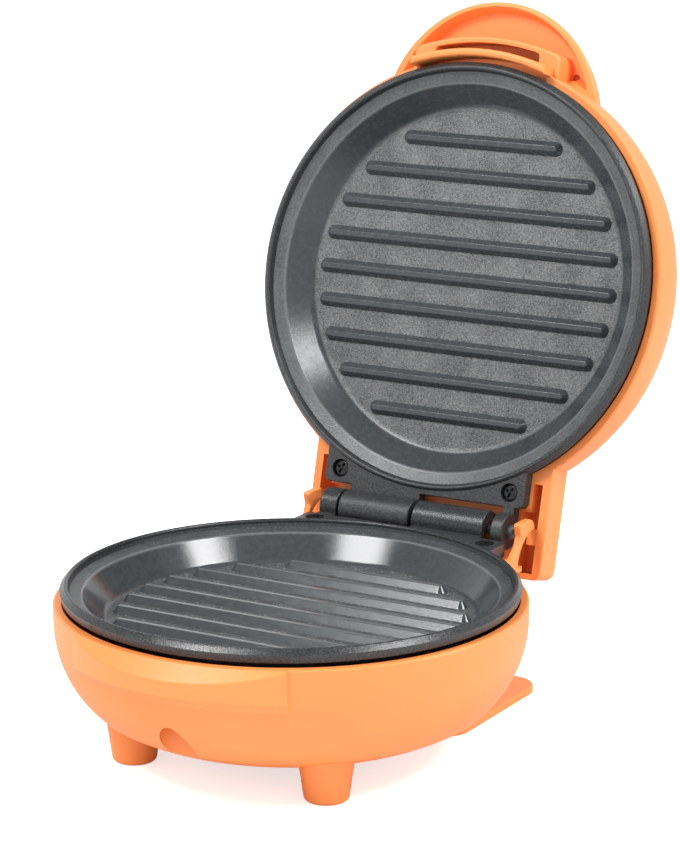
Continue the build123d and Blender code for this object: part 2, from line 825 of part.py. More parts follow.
# Core: the space inside the lid dome
with BuildPart() as lid_core:
    bowl(lid_half, wall, rim_depth - cut_run, 0)
    disc(lid_half, [(0, well_y)], well_r + well_wall, well_ceiling_depth - well_wall, shell_depth,
         Mode.SUBTRACT)
    disc(lid_half, [(0, lamp_y)], holder_r + screw_clearance + holder_socket_wall,
         shell_floor - holder_socket_height, shell_depth, Mode.SUBTRACT)
    disc(lid_half, plate_screw_places(), boss_r, rim_depth - cut_run, hood_back, Mode.SUBTRACT)

# Hood: the box-shaped part of the lid moulding round the hinge
with BuildPart() as hood:
    block(lid_half, (-hood_outer, hood_outer), (hood_end, hood_shoulder - hinge_reach), rim_depth, hood_back)
    fillet(hood.edges().filter_by(Axis.X).sort_by(Axis.Z)[:2].sort_by(Axis.Y)[-1], hood_corner)
    fillet(hood.faces().sort_by(Axis(lid_half.origin, lid_half.z_dir))[-1].edges().filter_by(
        lambda e: abs(e.tangent_at(0.5).X) < 0.1), hood_fillet)
    fillet(hood.faces().sort_by(Axis(lid_half.origin, lid_half.z_dir))[0].edges(), hood_front_round)

# Frame: the raised surround of the slot at the handle's root
with BuildPart() as frame:
    ring_sector(lid_half, bar_inner_r, frame_outer_r, frame_half, frame_front,
                handle_front + recess_depth + cut_run)
    fillet(frame.edges().filter_by(Axis(lid_half.origin, lid_half.z_dir)).sort_by(
        Axis(lid_half.origin, lid_half.y_dir))[-2:], frame_corner)
    fillet(frame.faces().sort_by(Axis(lid_half.origin, lid_half.z_dir))[0].edges(), frame_round)

# Slot: the long opening in the frame, cut right through to the vent
with BuildPart() as slot:
    ring_sector(lid_half, bar_outer_r, slot_outer_r, slot_half, frame_front - cut_run, vent_back)
    fillet(slot.edges().filter_by(Axis(lid_half.origin, lid_half.z_dir)).sort_by(
        Axis(lid_half.origin, lid_half.y_dir))[-2:], slot_corner)

# Lower bar: the thin curved rail beside the plate
with BuildPart() as bar:
    ring_sector(lid_half, bar_inner_r, bar_outer_r, bar_half, 0, bar_back)
    fillet(bar.faces().sort_by(Axis(lid_half.origin, lid_half.z_dir))[0].edges(), bar_round)

# Handle: the round finger tab, hollowed a little on its front
with BuildPart() as handle:
    with BuildSketch(level(lid_half, handle_front)) as handle_outline:
        with Locations((0, handle_centre)):
            Circle(handle_r)
    extrude(handle_outline.sketch, amount=handle_back - handle_front, taper=handle_taper)
    fillet(handle.faces().sort_by(Axis(lid_half.origin, lid_half.z_dir))[0].edges(), handle_front_round)
    fillet(handle.faces().sort_by(Axis(lid_half.origin, lid_half.z_dir))[-1].edges(), handle_back_round)

# Lid shell: dome, hood, handle and vent in one moulding
with BuildPart() as lid_shell:
    bowl(lid_half, 0, rim_depth, rim_round)
    add(hood.part)
    add(handle.part)
    with BuildSketch(level(lid_half, handle_front)) as recess_outline:
        with Locations((0, recess_centre)):
            Circle(recess_r)
        Circle(recess_inner_r, mode=Mode.SUBTRACT)
    extrude(recess_outline.sketch, amount=recess_depth, taper=recess_taper, mode=Mode.SUBTRACT)
    disc(lid_half, [(-recess_eye_x, recess_eye_y), (recess_eye_x, recess_eye_y)], recess_eye_r, handle_front,
         handle_front + recess_depth + recess_eye_depth, Mode.SUBTRACT)
    add(frame.part)
    add(bar.part)
    add(lid_core.part, mode=Mode.SUBTRACT)
    ring_sector(lid_half, shell_r - 2 * wall, bar_inner_r, bar_half - wall / 2, rim_depth - cut_run,
                vent_back, Mode.SUBTRACT)
    ring_sector(lid_half, shell_r - 2 * wall, slot_outer_r, slot_half, bar_back, vent_back, Mode.SUBTRACT)
    add(slot.part, mode=Mode.SUBTRACT)
    block(lid_half, (-channel_inner, channel_inner), (hood_end + hood_edge_wall, pocket_top - hinge_reach),
          rim_depth - cut_run, pocket_floor, Mode.SUBTRACT)
    block(lid_half, (-duct_half, duct_half), (hood_end + hood_edge_wall, channel_top - hinge_reach),
          pocket_floor + web_thickness, hood_back - hood_back_wall, Mode.SUBTRACT)
    for lead_side in (-lead_x, lead_x):
        block(lid_half, (lead_side - duct_window / 2, lead_side + duct_window / 2),
              (-hinge_reach - duct_low,
               -hinge_reach - duct_high), pocket_floor - cut_run, hood_back - hood_back_wall, Mode.SUBTRACT)
    for cavity_x in ((ear_outer + ring_gap, channel_inner), (-channel_inner, -ear_outer - ring_gap)):
        block(lid_half, cavity_x, (hood_end + hood_edge_wall, cavity_top - hinge_reach),
              rim_depth - cut_run, hood_back - hood_back_wall, Mode.SUBTRACT)
    for channel_x in ((channel_inner, hood_inner), (-hood_inner, -channel_inner)):
        block(lid_half, channel_x, (hood_end + hood_edge_wall, -hinge_reach - stop_low),
              rim_depth - cut_run, hood_back - hood_back_wall, Mode.SUBTRACT)
        block(lid_half, channel_x, (stop_high - hinge_reach, channel_top - hinge_reach),
              rim_depth - cut_run, hood_back - hood_back_wall, Mode.SUBTRACT)
        block(lid_half, channel_x, (-hinge_reach - stop_low, stop_high - hinge_reach),
              rim_depth - cut_run, rim_depth + stop_set_back, Mode.SUBTRACT)
    shell_fasteners(lid_half, hood_back - hood_back_wall)
    disc(lid_half, [(0, lamp_y)], lens_r + seat_gap, shell_floor - cut_run, shell_depth + cut_run,
         Mode.SUBTRACT)
    disc(lid_half, [(0, lamp_y)], holder_r + screw_clearance, shell_floor - holder_socket_height - cut_run,
         shell_floor, Mode.SUBTRACT)
save(lid_shell, "lid_shell")


# Screws
def pan_screws(half, places, head_at, shank_end, radius, head, height):
    """Cross-headed screws, heads outwards, as one group of separate solids."""
    with BuildPart() as screws:
        disc(half, places, head, head_at, head_at + height)
        disc(half, places, radius, shank_end, head_at)
        for turn in (0, 90):
            with BuildSketch(level(half, head_at + height - cross_depth)) as cross:
                with Locations(*places):
                    Rectangle(cross_length, cross_width, rotation=turn)
            extrude(cross.sketch, amount=cross_depth, mode=Mode.SUBTRACT)
    return screws


def flange_screws(half):
    """The two screws in the flange pockets, heads towards the mating face."""
    top = flange_depth + head_sunk
    with BuildPart() as screws:
        disc(half, plate_screw_places(), head_r, top, top + head_height)
        disc(half, plate_screw_places(), screw_shank_r, top + head_height,
             top + head_height + plate_screw_length)
        fillet(screws.faces().sort_by(Axis(half.origin, half.z_dir))[:2].edges(), head_round)
        for turn in (25, 115):
            with BuildSketch(level(half, top)) as cross:
                with Locations(*plate_screw_places()):
                    Rectangle(cross_length, cross_width, rotation=turn)
            extrude(cross.sketch, amount=cross_depth, mode=Mode.SUBTRACT)
    return screws


def front_screw(half):
    """The screw driven into the casting's front boss from the well."""
    end = well_ceiling_depth - front_screw_length
    return pan_screws(half, [(0, well_y)], well_ceiling_depth, end, screw_shank_r, small_head_r,
                      small_head_height)


# Heating element
def heating_element(half):
    """Tube bent to an open ring, with straight ends."""
    start = -90 + (360 - element_sweep) / 2
    with BuildPart() as element:
        with BuildSketch(element_end_plane(half, start, 0)) as tube:
            Circle(element_r)
        revolve(tube.sketch, axis=turn_axis(half), revolution_arc=element_sweep)
        for hand in (1, -1):
            with BuildSketch(element_end_plane(half, start, hand)) as leg:
                Circle(element_r)
            extrude(leg.sketch, amount=element_leg)
    return element


def element_end_plane(half, start, hand):
    """Plane across the tube's end on one hand, facing along its straight leg."""
    spot = polar(element_ring_r, start)
    run = (sin(radians(start)), -cos(radians(start)))
    mirror_x = -1 if hand < 0 else 1
    way = direction(half, mirror_x * run[0], run[1], 0)
    return Plane(at(half, mirror_x * spot[0], spot[1], element_depth), x_dir=half.z_dir, z_dir=way)


def element_terminals(half):
    """Ceramic beads on the element's ends, each with its pin."""
    start = -90 + (360 - element_sweep) / 2
    with BuildPart() as terminals:
        for hand in (1, -1):
            end = element_end_plane(half, start, hand).offset(element_leg)
            with BuildSketch(end) as bead:
                Circle(bead_flange_r)
            extrude(bead.sketch, amount=bead_length)
            with BuildSketch(end.offset(bead_length)) as pin:
                Circle(terminal_r)
            extrude(pin.sketch, amount=terminal_length)
    return terminals


def element_clips(half):
    """Flat straps that hold the ring up against its seat."""
    with BuildPart() as clips:
        for angle in clip_angles:
            middle = polar((clip_inner_r + clip_outer_r) / 2, angle)
            post = polar(clip_post_ring_r, angle)
            with BuildSketch(level(half, clip_depth + seat_gap)) as strap:
                with Locations(middle):
                    RectangleRounded(clip_outer_r - clip_inner_r, clip_width, clip_corner, rotation=angle)
                with Locations(post):
                    Circle(small_screw_r + screw_clearance, mode=Mode.SUBTRACT)
            extrude(strap.sketch, amount=clip_thickness)
    return clips


def clip_screws(half):
    """Screws of the element's clips."""
    places = [polar(clip_post_ring_r, a) for a in clip_angles]
    head_at = clip_depth + seat_gap + clip_thickness
    return pan_screws(half, places, head_at, head_at - small_screw_length, small_screw_r, small_head_r,
                      small_head_height)


def heat_shield(half):
    """Thin steel dish between the element and the moulding."""
    with BuildPart() as shield:
        disc(half, [(0, 0)], shield_r, shield_depth - shield_rim, shield_depth + shield_thickness)
        disc(half, [(0, 0)], shield_r - shield_thickness, shield_depth - shield_rim - cut_run, shield_depth,
             Mode.SUBTRACT)
        disc(half, [(0, 0)], shield_bore_r, shield_depth - cut_run, shield_depth + cut_run, Mode.SUBTRACT)
        with BuildSketch(level(half, shield_depth - cut_run)) as window:
            with Locations((-shield_window_x, shield_window_y), (shield_window_x, shield_window_y)):
                Rectangle(*shield_window)
        extrude(window.sketch, amount=2 * cut_run, mode=Mode.SUBTRACT)
        disc(half, [polar(shield_post_ring_r, a) for a in shield_post_angles],
             small_screw_r + screw_clearance,
             shield_depth - cut_run, shield_depth + cut_run, Mode.SUBTRACT)
    return shield


def shield_screws(half):
    """Screws of the heat shield."""
    places = [polar(shield_post_ring_r, a) for a in shield_post_angles]
    head_at = shield_depth + shield_thickness
    return pan_screws(half, places, head_at, head_at - small_screw_length, small_screw_r, small_head_r,
                      small_head_height)


for half, name in ((base_half, "base"), (lid_half, "lid")):
    save(flange_screws(half), f"{name}_plate_screws")
    save(front_screw(half), f"{name}_front_screw")
    save(heating_element(half), f"{name}_heating_element")
    save(element_terminals(half), f"{name}_element_terminals")
    save(element_clips(half), f"{name}_element_clips")
    save(clip_screws(half), f"{name}_clip_screws")
    save(heat_shield(half), f"{name}_heat_shield")
    save(shield_screws(half), f"{name}_shield_screws")


# Hinge pin: rod through all four knuckles, with a domed head on the right
with BuildPart() as hinge_pin:
    with BuildSketch(Plane.YZ.offset(-ear_outer - pin_overhang)) as pin_outline:
        with Locations((hinge_y, hinge_z)):
            Circle(pin_r)
    extrude(pin_outline.sketch, amount=2 * ear_outer + pin_overhang + ring_gap)
    fillet(hinge_pin.edges().filter_by(GeomType.CIRCLE), pin_round)
    with BuildSketch(Plane.YZ.offset(ear_outer + ring_gap)) as head_outline:
        with Locations((hinge_y, hinge_z)):
            Circle(pin_head_r)
    extrude(head_outline.sketch, amount=pin_head)
    fillet(hinge_pin.faces().sort_by(Axis.X)[-1].edges(), pin_head_round)
save(hinge_pin, "hinge_pin")

# Retaining ring: push-on washer on the pin's left end
with BuildPart() as pin_ring:
    with BuildSketch(Plane.YZ.offset(-ear_outer - ring_gap)) as ring_outline:
        with Locations((hinge_y, hinge_z)):
            Circle(ring_r)
            Circle(pin_r + screw_clearance, mode=Mode.SUBTRACT)
    extrude(ring_outline.sketch, amount=-ring_thickness)
save(pin_ring, "hinge_pin_ring")

# Thermostat: sensing cap against the casting, body and two blades towards the bowl's floor
with BuildPart() as thermostat:
    disc(base_half, [(0, 0)], thermostat_cap_r, underside + seat_gap, thermostat_top)
    disc(base_half, [(0, 0)], thermostat_body_r, thermostat_top, thermostat_top + thermostat_body_height)
    with BuildSketch(level(base_half, thermostat_top + thermostat_body_height)) as blades:
        with GridLocations(blade_spacing, 1, 2, 1):
            Rectangle(blade_thickness, blade_width)
    extrude(blades.sketch, amount=blade_length)
save(thermostat, "thermostat")

# Thermostat bracket: strap round the body, on two posts
with BuildPart() as bracket:
    with BuildSketch(level(base_half, thermostat_top + seat_gap)) as bracket_plan:
        SlotOverall(bracket_length, bracket_width, rotation=90)
        Circle(thermostat_body_r + bracket_band)
        Circle(thermostat_body_r + seat_gap, mode=Mode.SUBTRACT)
        with GridLocations(1, 2 * bracket_post_y, 1, 2):
            Circle(small_screw_r + screw_clearance, mode=Mode.SUBTRACT)
    extrude(bracket_plan.sketch, amount=bracket_thickness)
save(bracket, "thermostat_bracket")
bracket_top = thermostat_top + seat_gap + bracket_thickness
save(pan_screws(base_half, [(0, -bracket_post_y), (0, bracket_post_y)], bracket_top, underside + seat_gap,
                small_screw_r, small_head_r, small_head_height), "thermostat_screws")

# Thermal fuse in its sleeve, lying on the casting
fuse_plane = Plane(at(base_half, fuse_x, -fuse_length / 2, underside + seat_gap + fuse_r),
                   x_dir=base_half.x_dir, z_dir=base_half.y_dir)
with BuildPart() as thermal_fuse:
    with BuildSketch(fuse_plane) as fuse_outline:
        Circle(fuse_r)
    extrude(fuse_outline.sketch, amount=fuse_length)
save(thermal_fuse, "thermal_fuse")

# Fuse clip: strap over the sleeve, with one screw
fuse_clip_depth = underside + 2 * seat_gap + 2 * fuse_r
with BuildPart() as fuse_clip:
    block(base_half, (fuse_x - fuse_r, fuse_post_x + fuse_post_r),
          (-fuse_clip_width / 2, fuse_clip_width / 2),
          fuse_clip_depth, fuse_clip_depth + fuse_clip_thickness)
    disc(base_half, [(fuse_post_x, 0)], small_screw_r + screw_clearance, fuse_clip_depth - cut_run,
         fuse_clip_depth + fuse_clip_thickness + cut_run, Mode.SUBTRACT)
save(fuse_clip, "fuse_clip")
save(pan_screws(base_half, [(fuse_post_x, 0)], fuse_clip_depth + fuse_clip_thickness,
                fuse_clip_depth + fuse_clip_thickness - small_screw_length,
                small_screw_r, small_head_r, small_head_height), "fuse_clip_screw")

# Terminal block on two pads of the bowl's floor
block_under = shell_floor - block_seat - seat_gap
block_top = block_under - block_size[2]
with BuildPart() as terminal_block:
    block(base_half, (-block_size[0] / 2, block_size[0] / 2),
          (block_y - block_size[1] / 2, block_y + block_size[1] / 2), block_top, block_under)
    for way in (-1, 1):
        for end_y in (-1, 1):
            disc(base_half, [(way * block_way_spacing / 2, block_y + end_y * block_screw_y)], block_way_r,
                 block_top, block_top + block_way_depth, Mode.SUBTRACT)
    disc(base_half, [(x, block_y) for x in block_way_screws], small_screw_r + screw_clearance,
         block_top, block_under, Mode.SUBTRACT)
save(terminal_block, "terminal_block")
way_places = [(w * block_way_spacing / 2, block_y + e * block_screw_y) for w in (-1, 1) for e in (-1, 1)]
with BuildPart() as terminal_screws:
    disc(base_half, way_places, block_way_r - seat_gap, block_top + cross_depth, block_top + block_way_depth)
    with BuildSketch(level(base_half, block_top + cross_depth)) as driver_slots:
        with Locations(*way_places):
            Rectangle(2 * block_way_r, cross_width)
    extrude(driver_slots.sketch, amount=cross_depth, mode=Mode.SUBTRACT)
save(terminal_screws, "terminal_screws")
with BuildPart() as block_screws:
    disc(base_half, [(x, block_y) for x in block_way_screws], small_head_r, block_top - small_head_height,
         block_top)
    disc(base_half, [(x, block_y) for x in block_way_screws], small_screw_r, block_top,
         block_under + block_seat)
save(block_screws, "terminal_block_screws")

# Inlet bush: grooved rubber ring in the bowl's back wall
with BuildPart() as inlet_bush:
    with BuildSketch(inlet_plane.offset(-inlet_flange - inlet_lip)) as bush_outer:
        Circle(inlet_flange_r)
    extrude(bush_outer.sketch, amount=inlet_flange)
    with BuildSketch(inlet_plane.offset(-inlet_lip)) as bush_neck:
        Circle(inlet_hole_r - inlet_lip)
    extrude(bush_neck.sketch, amount=inlet_wall + 2 * inlet_lip)
    with BuildSketch(inlet_plane.offset(inlet_wall + inlet_lip)) as bush_inner:
        Circle(inlet_flange_r)
    extrude(bush_inner.sketch, amount=inlet_flange)
    fillet(inlet_bush.faces().sort_by(Axis.Y)[-1].edges(), inlet_flange / 2)
    with BuildSketch(inlet_plane.offset(-2 * inlet_flange)) as bush_bore:
        Circle(inlet_bore_r)
    extrude(bush_bore.sketch, amount=inlet_wall + 4 * inlet_flange, mode=Mode.SUBTRACT)
save(inlet_bush, "cord_inlet_bush")

# Indicator: lens, neon tube and its holder in the dome's socket
with BuildPart() as lens:
    disc(lid_half, [(0, lamp_y)], lens_r, shell_floor - lens_flange, shell_depth + lens_proud)
    fillet(lens.faces().sort_by(Axis(lid_half.origin, lid_half.z_dir))[-1].edges(), lens_proud)
    disc(lid_half, [(0, lamp_y)], lens_flange_r, shell_floor - lens_flange - seat_gap, shell_floor - seat_gap)
save(lens, "indicator_lens")
holder_rim = shell_floor - lens_flange - 2 * seat_gap
with BuildPart() as holder:
    disc(lid_half, [(0, lamp_y)], holder_r, holder_rim - holder_length, holder_rim)
    disc(lid_half, [(0, lamp_y)], holder_r - holder_wall, holder_rim - holder_length + holder_wall,
         holder_rim,
         Mode.SUBTRACT)
save(holder, "lamp_holder")
with BuildPart() as neon:
    disc(lid_half, [(0, lamp_y)], neon_r, holder_rim - holder_length + holder_wall + seat_gap,
         holder_rim - holder_length + holder_wall + seat_gap + neon_length)
    fillet(neon.faces().sort_by(Axis(lid_half.origin, lid_half.z_dir))[-1].edges(), neon_round)
save(neon, "neon_lamp")


# Wires and leads
def cable(points, radius):
    """A round cable along points, with a bend at each inner point as large as its runs allow."""
    bends = []
    for before, corner, after in zip(points, points[1:], points[2:]):
        turn = (corner - before).get_angle(after - corner)
        shorter = min((corner - before).length, (after - corner).length)
        bends.append(bend_share * shorter / tan(radians(turn / 2)))
    with BuildLine() as path:
        FilletPolyline(*points, radius=bends)
    with BuildSketch(Plane(points[0], z_dir=points[1] - points[0])) as cut:
        Circle(radius)
    sweep(cut.sketch, path=path.line)


pin_reach = element_leg + bead_length + terminal_length + port_gap
ring_end = polar(element_ring_r, -90 + (360 - element_sweep) / 2)
pin_run = (-ring_end[1] / element_ring_r, ring_end[0] / element_ring_r)
pin_end = (ring_end[0] - pin_run[0] * pin_reach, ring_end[1] - pin_run[1] * pin_reach)
pin_lead = (pin_end[0] - pin_run[0] * lead_approach, pin_end[1] - pin_run[1] * lead_approach)
block_back = block_y - block_size[1] / 2 - port_gap
block_front = block_y + block_size[1] / 2 + port_gap
duct_turn = (-lead_depth - hinge_lift - open_cos * (lead_duct + hinge_lift)) / open_sin

# Leads to the lid: from the terminal block, under the hinge and through the hood to the lid's element
with BuildPart() as hinge_leads:
    for hand in (-1, 1):
        base_run = [
            (lead_port_x, block_back, port_depth),
            (lead_port_x, lead_bench_in - shell_r, port_depth),
            (lead_x, lead_knee_in - shell_r, lead_knee_depth),
            (lead_x, lead_climb_in - shell_r, lead_climb_depth),
            (lead_x, lead_top_in - shell_r, lead_top_depth),
            (lead_x, lead_exit_in - shell_r, lead_depth),
        ]
        lid_run = [
            (lead_x, duct_turn - hinge_reach, lead_duct),
            (lead_x, duct_bend_up - hinge_reach, lead_duct),
            (lead_x, dome_entry_up - hinge_reach, dome_entry_depth),
            (pin_lead[0], pin_lead[1], element_depth),
            (pin_end[0], pin_end[1], element_depth),
        ]
        points = [at(base_half, hand * x, y, depth) for x, y, depth in base_run]
        points += [at(lid_half, -hand * x, y, depth) for x, y, depth in lid_run]
        cable(points, lead_r)
save(hinge_leads, "hinge_leads")

# Element wires of the base: from the element's pins down to the terminal block
with BuildPart() as base_element_wires:
    for hand in (-1, 1):
        run = [
            (pin_end[0], pin_end[1], element_depth),
            (pin_lead[0], pin_lead[1], element_depth),
            (pin_lead[0], pin_lead[1], port_depth - element_r),
            (wire_port_x, (block_back + pin_lead[1]) / 2, port_depth),
            (wire_port_x, block_back, port_depth),
        ]
        cable([at(base_half, hand * x, y, depth) for x, y, depth in run], wire_r)
save(base_element_wires, "base_element_wires")

# Control wires: terminal block to thermostat, thermostat to fuse, fuse to terminal block
blade_end = thermostat_top + thermostat_body_height + blade_length + port_gap
fuse_depth = underside + seat_gap + fuse_r
fuse_end = fuse_length / 2 + port_gap
with BuildPart() as control_wires:
    cable([at(base_half, *spot) for spot in (
        (blade_spacing / 2, 0, blade_end),
        (blade_spacing / 2, 0, port_depth),
        (blade_spacing / 2, block_front, port_depth),
    )], wire_r)
    cable([at(base_half, *spot) for spot in (
        (-blade_spacing / 2, 0, blade_end),
        (-blade_spacing / 2, 0, blade_end + wire_drop),
        (-wire_side_x, -wire_side_y, blade_end + wire_drop),
        (-wire_side_x - wire_skew, -wire_side_y - wire_skew, fuse_depth + wire_drop),
        (-wire_turn_x, -wire_turn_y, fuse_depth),
        (fuse_x, -wire_turn_y, fuse_depth),
        (fuse_x, -fuse_end, fuse_depth),
    )], wire_r)
    cable([at(base_half, *spot) for spot in (
        (fuse_x, fuse_end, fuse_depth),
        (fuse_x, wire_turn_y, fuse_depth),
        (-wire_turn_x, wire_turn_y, fuse_depth),
        (-wire_side_x - wire_skew, wire_side_y + wire_skew, fuse_depth + wire_drop),
        (-wire_side_x, wire_side_y, port_depth + wire_step),
        (-blade_spacing / 2, -wire_last_y, port_depth + wire_step),
        (-blade_spacing / 2, block_front, port_depth + wire_step),
    )], wire_r)
save(control_wires, "control_wires")

# Lamp wires: from the holder over the heat shield's bore to the lid element's pins
with BuildPart() as lamp_wires:
    for hand in (-1, 1):
        run = [
            (lamp_wire_x, lamp_y, holder_rim - holder_length - port_gap),
            (lamp_wire_x, lamp_y - wire_skew, holder_rim - holder_length - lamp_wire_drop),
            (*lamp_wire_turn, holder_rim - holder_length - lamp_wire_drop),
            (*lamp_wire_bore, shield_depth - lamp_wire_dip),
            (*lamp_wire_side, shield_depth - lamp_wire_lift),
            (pin_end[0] + lamp_wire_pin[0], pin_end[1] + lamp_wire_pin[1], shield_depth - lamp_wire_lift),
            (pin_end[0] + lamp_wire_pin[0], pin_end[1] + lamp_wire_pin[1] + wire_skew,
             element_depth + terminal_r + port_gap),
        ]
        cable([at(lid_half, hand * x, y, depth) for x, y, depth in run], lamp_wire_r)
save(lamp_wires, "lamp_wires")
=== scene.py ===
from math import cos, radians, sin

import bmesh
import bpy
from mathutils import Matrix, Vector


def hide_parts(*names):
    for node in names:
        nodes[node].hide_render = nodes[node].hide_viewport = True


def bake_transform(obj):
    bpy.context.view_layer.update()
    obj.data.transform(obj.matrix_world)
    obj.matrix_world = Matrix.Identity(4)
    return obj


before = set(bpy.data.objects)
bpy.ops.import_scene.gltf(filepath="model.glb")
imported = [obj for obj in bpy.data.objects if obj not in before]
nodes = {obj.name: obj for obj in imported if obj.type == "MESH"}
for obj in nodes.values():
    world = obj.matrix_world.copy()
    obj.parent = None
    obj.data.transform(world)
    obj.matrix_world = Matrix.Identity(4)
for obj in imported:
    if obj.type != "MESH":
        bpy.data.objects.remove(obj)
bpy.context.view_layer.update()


# The two shells are single injection mouldings in orange heat-resistant plastic,
# with the satin face of a finely etched mould. Feet, hood, handle and front lip
# are part of the same shot.
def new_finish(name):
    """A material with its shader and its object coordinates."""
    material = bpy.data.materials.new(name)
    material.use_nodes = True
    shader = material.node_tree.nodes["Principled BSDF"]
    place = material.node_tree.nodes.new("ShaderNodeTexCoord")
    return material, shader, place.outputs["Object"]


def add_node(tree, kind, inputs=(), **settings):
    """A node of that kind, with its settings and its inputs, which are values or sockets."""
    node = tree.nodes.new(kind)
    for setting, value in settings.items():
        setattr(node, setting, value)
    for socket, value in dict(inputs).items():
        if isinstance(value, bpy.types.NodeSocket):
            tree.links.new(value, node.inputs[socket])
        else:
            node.inputs[socket].default_value = value
    return node


def grain(material, place, size, detail=2.0):
    """Noise whose blotches are about that size, in metres."""
    inputs = {"Vector": place, "Scale": 1.0 / size, "Detail": detail}
    return add_node(material.node_tree, "ShaderNodeTexNoise", inputs).outputs["Fac"]


def between(material, factor, low, high, start=0.0, end=1.0):
    """A number that goes from low to high as the factor goes from start to end."""
    inputs = {"Value": factor, "From Min": start, "From Max": end, "To Min": low, "To Max": high}
    return add_node(material.node_tree, "ShaderNodeMapRange", inputs).outputs["Result"]


def two_colours(material, factor, first, second, start=0.0, end=1.0):
    """A colour that goes from the first to the second as the factor goes from start to end."""
    ramp = add_node(material.node_tree, "ShaderNodeValToRGB", {"Fac": factor})
    for stop, position, colour in zip(ramp.color_ramp.elements, (start, end), (first, second)):
        stop.position = position
        stop.color = (*colour, 1.0)
    return ramp.outputs["Color"]


def relief(material, height, depth):
    """A bump of that depth in metres."""
    inputs = {"Height": height, "Distance": depth, "Strength": 1.0}
    return add_node(material.node_tree, "ShaderNodeBump", inputs).outputs["Normal"]


def join(material, socket, shader, name):
    """Feeds a socket of the shader."""
    material.node_tree.links.new(socket, shader.inputs[name])


def wear(node, material):
    """Gives a CAD node its finish."""
    for slot in nodes[node].material_slots:
        slot.material = material
    if not nodes[node].material_slots:
        nodes[node].data.materials.append(material)


flow_size = 0.035
etch_size = 0.00045
etch_depth = 0.00002
noise_core = (0.3, 0.7)
orange_deep = (0.91, 0.274, 0.069)
orange_pale = (0.95, 0.296, 0.079)
satin = (0.36, 0.50)

orange, shader, place = new_finish("orange_moulding")
clouds = grain(orange, place, flow_size, detail=3.0)
etch = grain(orange, place, etch_size, detail=3.0)
join(orange, two_colours(orange, clouds, orange_deep, orange_pale, *noise_core), shader, "Base Color")
join(orange, between(orange, etch, *satin, *noise_core), shader, "Roughness")
join(orange, relief(orange, etch, etch_depth), shader, "Normal")
for node in ("base_shell", "lid_shell"):
    wear(node, orange)


# The two plates are aluminium castings with a sprayed dark non-stick coat. Silvery grains
# lie on the flat floors and ledges, with lighter flecks that are partly painted glints. The coat
# runs smooth on the ribs and the sloping walls, is dark and pebbled outside the bead, and
# carries painted highlights along the ribs' crests and along the ledge's corner.
plate_middle = Vector((0.0, -0.03333, 0.0461))   # of the base's bead, at its crest
hinge_axis = Vector((0.0, 0.03537, 0.04626))
opening = radians(104.7)

# Depths below the bead's crest and reaches from the plate's axis, each where a zone blends
# into the next.
ledge_ends = (0.0066, 0.0074)
# Depths where the painted highlight on the ribs' crests fades in and out.
crest_starts = (0.0070, 0.0078)
crest_ends = (0.0094, 0.0098)
floor_starts = (0.0096, 0.0101)
# Reaches where the painted highlight on the ledge's corner fades in and out.
corner_starts = (0.05495, 0.05535)
corner_ends = (0.05545, 0.05585)
bead_starts = (0.0586, 0.0591)
level_faces = (0.88, 0.98)       # cosine of the lean of a face that counts as flat
ledge_share = 0.62               # of the floor's grains that lie on the ledges
outer_share = 0.22               # of the floor's grains that lie outside the bead

fine_size = 0.00042
broad_size = 0.009
mist_size = 0.0016
fleck_size = 0.0011
fleck_edge = (0.10, 0.20)
broad_sway = 0.07
silver_range = (0.34, 0.74)
cast_range = (0.40, 0.74)
coat_depth = 0.00010
smooth_pebble = 0.22             # of the floor's relief
outer_pebble = 0.7
mist_roughness = 0.05
outer_roughness = 0.14

smooth_dark = (0.040, 0.045, 0.049)
smooth_pale = (0.054, 0.059, 0.063)
cast_dark = (0.013, 0.014, 0.015)
cast_pale = (0.056, 0.060, 0.063)
# Lighter flecks, partly silver flecks and partly painted glints; then the painted highlights on the ribs'
# crests and the ledge's corner.
fleck_and_glint_on_smooth = (0.22, 0.23, 0.235)
fleck_and_glint_on_silver = (0.55, 0.56, 0.56)
crest_highlight_colour = (0.20, 0.205, 0.21)
corner_highlight_colour = (0.42, 0.43, 0.43)
smooth_fleck_and_glint = 0.025
corner_highlight_share = 0.26
mix_colours = (6, 7)
mix_result = 2


def vector_node(material, operation, first, second=(0.0, 0.0, 0.0)):
    """Two vectors joined by that operation."""
    inputs = {0: first, 1: second}
    return add_node(material.node_tree, "ShaderNodeVectorMath", inputs, operation=operation)


def dot(material, vector, axis):
    """The share of a vector that lies along an axis."""
    return vector_node(material, "DOT_PRODUCT", vector, axis).outputs["Value"]


def combine(material, operation, first, second):
    """Two numbers joined by that operation."""
    inputs = {0: first, 1: second}
    return add_node(material.node_tree, "ShaderNodeMath", inputs, operation=operation).outputs["Value"]


def times(material, first, second):
    """Their product."""
    return combine(material, "MULTIPLY", first, second)


def blend(material, factor, first, second):
    """A colour between two others, by that share. The mix node tells its colours by number."""
    colours = [c if isinstance(c, bpy.types.NodeSocket) else (*c, 1.0) for c in (first, second)]
    inputs = {"Factor": factor, **dict(zip(mix_colours, colours))}
    mix = add_node(material.node_tree, "ShaderNodeMix", inputs, data_type="RGBA")
    return mix.outputs[mix_result]


